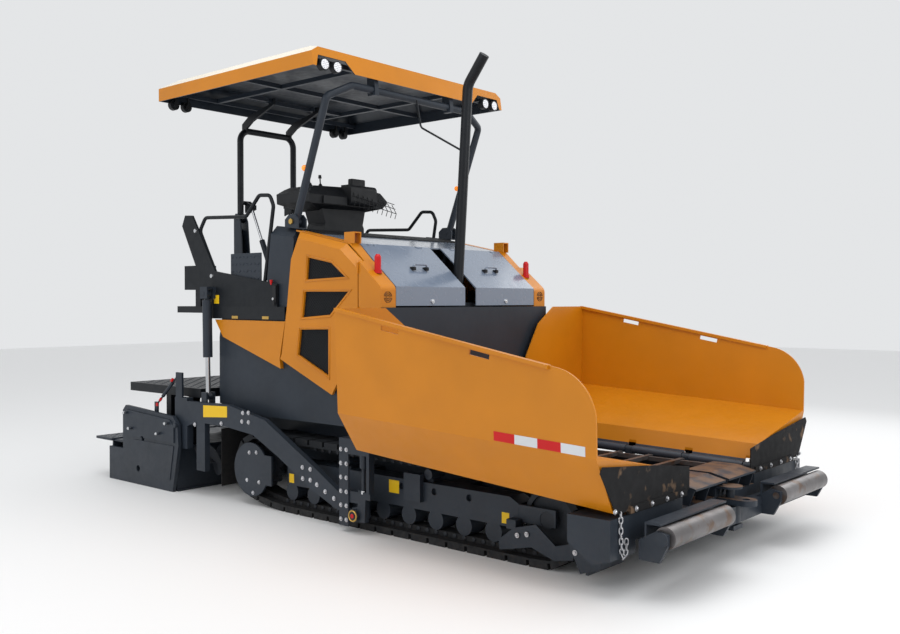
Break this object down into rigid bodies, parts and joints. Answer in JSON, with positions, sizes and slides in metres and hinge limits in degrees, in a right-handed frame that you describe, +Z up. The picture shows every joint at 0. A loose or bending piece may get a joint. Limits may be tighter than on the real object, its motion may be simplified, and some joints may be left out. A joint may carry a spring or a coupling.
{
  "type": "tracked asphalt paver",
  "caption": "Tracked asphalt paver with folding hopper wings, push rollers, slat conveyors, augers, folding canopy and a floating extendable screed.",
  "frame": {"origin": "on the ground under the middle of the machine's length and width, between the push rollers' front and the walkway's rear edge", "axes": "+X forward to the hopper, +Y to the machine's left, +Z up"},
  "size_m": [6.6199, 3.338, 3.9528],
  "materials": {
    "orange": "semi-gloss orange paint",
    "dark_grey": "satin dark blue-grey paint",
    "black": "satin black paint",
    "hood_grey": "gloss metallic grey paint",
    "track": "worn rubber pads on steel links",
    "steel": "bright worn steel",
    "cast": "cast iron",
    "chrome": "chromed rod",
    "rubber": "matte rubber",
    "plastic": "textured black plastic",
    "seat": "black vinyl",
    "amber": "amber lens",
    "lamp": "black lamp housing"
  },
  "bodies": {
    "chassis": {"auger_frame": "dark_grey", "canopy_brackets": "dark_grey", "canopy_rear_posts": "dark_grey", "conveyors": "steel", "cowl_columns": "dark_grey", "cowl_corners": "orange", "deck_handrails": "black", "deck_shields": "black", "engine_block": "cast", "exhaust_stack": "black", "final_drives": "dark_grey", "front_frame": "dark_grey", "hood_top": "hood_grey", "hopper_aprons": "rubber", "hopper_back_wall": "dark_grey", "lift_brackets": "dark_grey", "lower_trims": "orange", "main_frame": "dark_grey", "operator_console": "plastic", "operator_deck": "black", "seat_base": "plastic", "seat_cushion": "seat", "side_tanks": "dark_grey", "tow_towers": "dark_grey", "track_frames": "dark_grey", "track_left": "track", "track_right": "track", "track_wheels": "cast", "wing_hinge_pins": "dark_grey"},
    "hopper_wing_right": {"hopper_wing_right": "orange"},
    "hopper_wing_left": {"hopper_wing_left": "orange"},
    "roller_beam": {"roller_beam": "dark_grey"},
    "push_roller_right": {"push_roller_right": "steel"},
    "push_roller_left": {"push_roller_left": "steel"},
    "screed": {"tow_arms": "dark_grey", "screed_main": "dark_grey", "screed_cover": "black"},
    "screed_extension_right": {"screed_extension_right": "dark_grey"},
    "screed_extension_left": {"screed_extension_left": "dark_grey"},
    "lift_barrel_right": {"lift_barrel_right": "dark_grey"},
    "lift_barrel_left": {"lift_barrel_left": "dark_grey"},
    "lift_rod_right": {"lift_rod_right": "chrome"},
    "lift_rod_left": {"lift_rod_left": "chrome"},
    "auger_right": {"auger_right": "cast"},
    "auger_left": {"auger_left": "cast"},
    "hood_lid_right": {"hood_lid_right": "hood_grey"},
    "hood_lid_left": {"hood_lid_left": "hood_grey"},
    "side_door_right": {"side_door_right": "orange", "door_grilles_right": "black"},
    "side_door_left": {"side_door_left": "orange", "door_grilles_left": "black"},
    "canopy_front_frame": {"canopy_front_frame": "dark_grey", "marker_lamps": "amber"},
    "canopy_rear_frame": {"canopy_rear_frame": "black"},
    "canopy": {"canopy_roof": "orange", "canopy_rafters": "dark_grey", "roof_lamps": "lamp"},
    "canopy_barrels": {"canopy_barrels": "dark_grey"},
    "canopy_rods": {"canopy_rods": "chrome"}
  },
  "joints": [
    {"name": "hopper_wing_right_fold", "type": "hinge", "parent": "chassis", "child": "hopper_wing_right", "pos_m": [0.81, -0.62, 0.6], "axis": [0.9997, 0, -0.0252], "range_deg": [-45, 0]},
    {"name": "hopper_wing_left_fold", "type": "hinge", "parent": "chassis", "child": "hopper_wing_left", "pos_m": [0.81, 0.62, 0.6], "axis": [0.9997, 0, -0.0252], "range_deg": [0, 45]},
    {"name": "roller_beam_swing", "type": "hinge", "parent": "chassis", "child": "roller_beam", "pos_m": [3.072, 0, 0.3], "axis": [0, 0, 1], "range_deg": [-3, 3]},
    {"name": "push_roller_right_spin", "type": "hinge", "parent": "roller_beam", "child": "push_roller_right", "pos_m": [3.24, -0.855, 0.39], "axis": [0, 1, 0], "continuous": true},
    {"name": "push_roller_left_spin", "type": "hinge", "parent": "roller_beam", "child": "push_roller_left", "pos_m": [3.24, 0.855, 0.39], "axis": [0, 1, 0], "continuous": true},
    {"name": "screed_lift", "type": "hinge", "parent": "chassis", "child": "screed", "pos_m": [0.585, 0, 0.145], "axis": [0, 1, 0], "range_deg": [0, 5]},
    {"name": "lift_barrel_right_swing", "type": "hinge", "parent": "chassis", "child": "lift_barrel_right", "pos_m": [-1.54, -1.165, 1.88], "axis": [0, 1, 0], "range_deg": [-5.99, 0]},
    {"name": "lift_rod_right_slide", "type": "slide", "parent": "lift_barrel_right", "child": "lift_rod_right", "axis": [0.0158, 0, -0.9999], "range_m": [-0.17912, 0]},
    {"name": "screed_extension_right_slide", "type": "slide", "parent": "screed", "child": "screed_extension_right", "axis": [0, -1, 0], "range_m": [0, 1.15]},
    {"name": "auger_right_spin", "type": "hinge", "parent": "chassis", "child": "auger_right", "pos_m": [-1.7, -0.6, 0.3], "axis": [0, 1, 0], "continuous": true},
    {"name": "lift_barrel_left_swing", "type": "hinge", "parent": "chassis", "child": "lift_barrel_left", "pos_m": [-1.54, 1.165, 1.88], "axis": [0, 1, 0], "range_deg": [-5.99, 0]},
    {"name": "lift_rod_left_slide", "type": "slide", "parent": "lift_barrel_left", "child": "lift_rod_left", "axis": [0.0158, 0, -0.9999], "range_m": [-0.17912, 0]},
    {"name": "screed_extension_left_slide", "type": "slide", "parent": "screed", "child": "screed_extension_left", "axis": [0, 1, 0], "range_m": [0, 1.15]},
    {"name": "auger_left_spin", "type": "hinge", "parent": "chassis", "child": "auger_left", "pos_m": [-1.7, 0.6, 0.3], "axis": [0, 1, 0], "continuous": true},
    {"name": "hood_lid_right_open", "type": "hinge", "parent": "chassis", "child": "hood_lid_right", "pos_m": [0.262, 0, 2.281], "axis": [0, 1, 0], "range_deg": [-55, 0]},
    {"name": "hood_lid_left_open", "type": "hinge", "parent": "chassis", "child": "hood_lid_left", "pos_m": [0.262, 0, 2.281], "axis": [0, 1, 0], "range_deg": [-55, 0]},
    {"name": "side_door_right_open", "type": "hinge", "parent": "chassis", "child": "side_door_right", "pos_m": [0.425, -1.118, 1.8], "axis": [0, 0, 1], "range_deg": [0, 100]},
    {"name": "side_door_left_open", "type": "hinge", "parent": "chassis", "child": "side_door_left", "pos_m": [0.425, 1.118, 1.8], "axis": [0, 0, 1], "range_deg": [-100, 0]},
    {"name": "canopy_fold", "type": "hinge", "parent": "chassis", "child": "canopy_front_frame", "pos_m": [-0.45, 0, 2.5], "axis": [0, 1, 0], "range_deg": [-95, 0]},
    {"name": "canopy_level", "type": "hinge", "parent": "canopy_front_frame", "child": "canopy", "pos_m": [-0.01, 0, 3.655], "axis": [0, 1, 0], "range_deg": [0, 96]},
    {"name": "canopy_rear_fold", "type": "hinge", "parent": "chassis", "child": "canopy_rear_frame", "pos_m": [-2.11, 0, 2.665], "axis": [0, 1, 0], "range_deg": [-96, 0]},
    {"name": "canopy_barrels_swing", "type": "hinge", "parent": "chassis", "child": "canopy_barrels", "pos_m": [-1.63, 0, 1.92], "axis": [0, 1, 0], "range_deg": [-10.71, 0]},
    {"name": "canopy_rods_slide", "type": "slide", "parent": "canopy_barrels", "child": "canopy_rods", "axis": [-0.4345, 0, 0.9007], "range_m": [0, 0.05633]}
  ],
  "couplings": [
    {"joint": "canopy_level", "follows": "canopy_fold", "ratio": -1},
    {"joint": "canopy_rear_fold", "follows": "canopy_fold", "ratio": 1},
    {"joint": "canopy_barrels_swing", "follows": "canopy_fold", "ratio": 0.11053},
    {"joint": "canopy_rods_slide", "follows": "canopy_fold", "m_per_rad": -0.033309},
    {"joint": "lift_barrel_right_swing", "follows": "screed_lift", "ratio": -1.1752},
    {"joint": "lift_rod_right_slide", "follows": "screed_lift", "m_per_rad": -2.0124},
    {"joint": "lift_barrel_left_swing", "follows": "screed_lift", "ratio": -1.1752},
    {"joint": "lift_rod_left_slide", "follows": "screed_lift", "m_per_rad": -2.0124}
  ]
}
